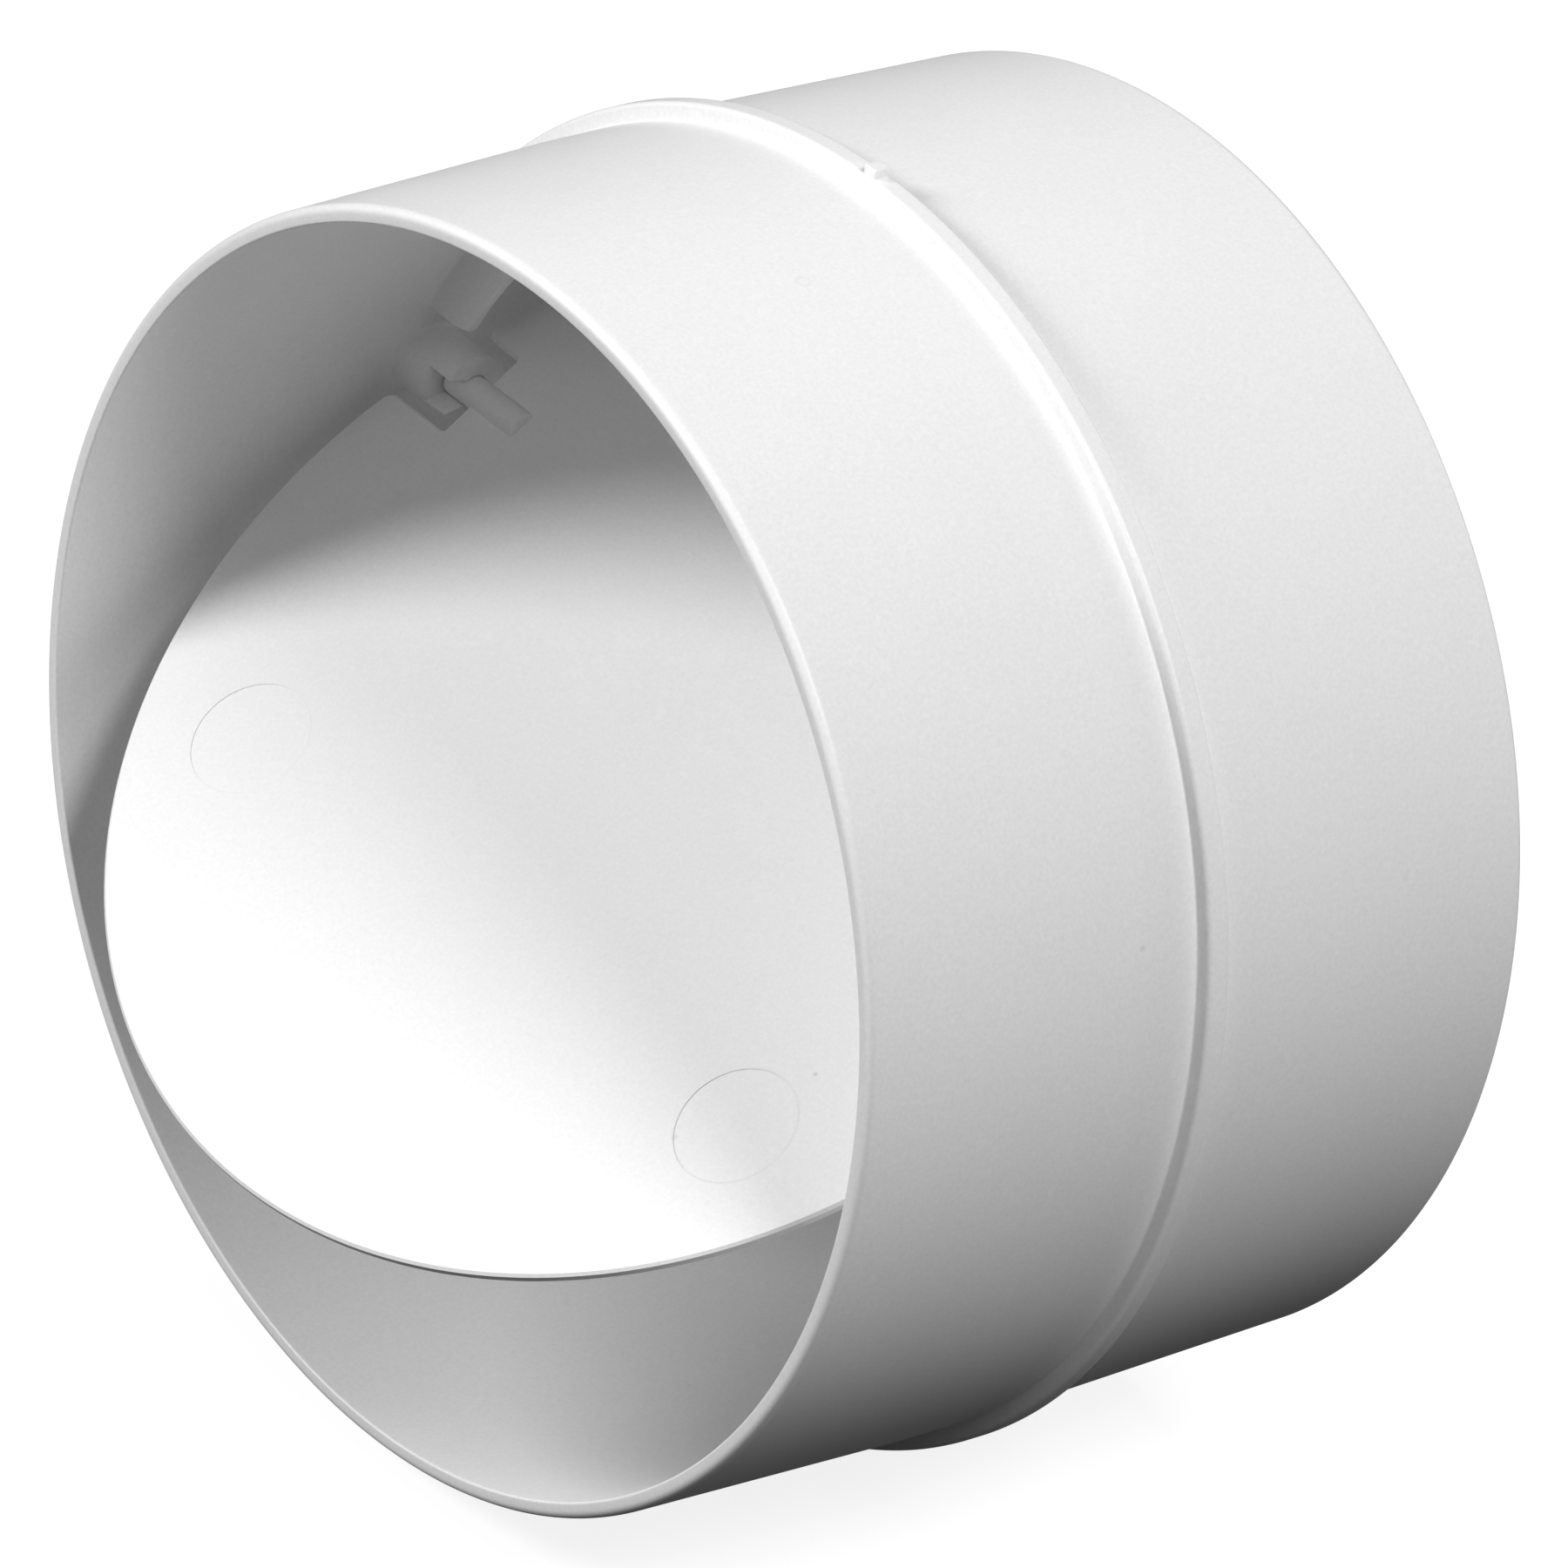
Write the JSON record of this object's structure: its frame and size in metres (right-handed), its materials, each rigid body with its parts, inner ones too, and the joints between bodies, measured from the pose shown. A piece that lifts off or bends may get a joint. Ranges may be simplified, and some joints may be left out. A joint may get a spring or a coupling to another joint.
{
  "type": "duct connector with backdraft flap",
  "caption": "Short round duct connector with a spigot at each end, a collar between them and a hinged disc flap inside that stops air flowing back.",
  "frame": {"origin": "on the duct axis, in the collar's rear face, where the end of the rear duct butts", "axes": "+Y along the duct axis out of the rear mouth, -Y out of the front mouth that the flap opens towards, +Z from the axis to the hinge side, X along the hinge"},
  "size_m": [0.1028, 0.0775, 0.1035],
  "materials": {
    "body_plastic": "satin moulded white plastic",
    "flap_plastic": "satin moulded white plastic"
  },
  "bodies": {
    "connector": {"connector_body": "body_plastic"},
    "flap": {"flap": "flap_plastic"}
  },
  "joints": [
    {"name": "flap_swing", "type": "hinge", "parent": "connector", "child": "flap", "pos_m": [0, -0.00125, 0.01227], "axis": [-1, 0, 0], "range_deg": [-52.3, 25.7]}
  ]
}
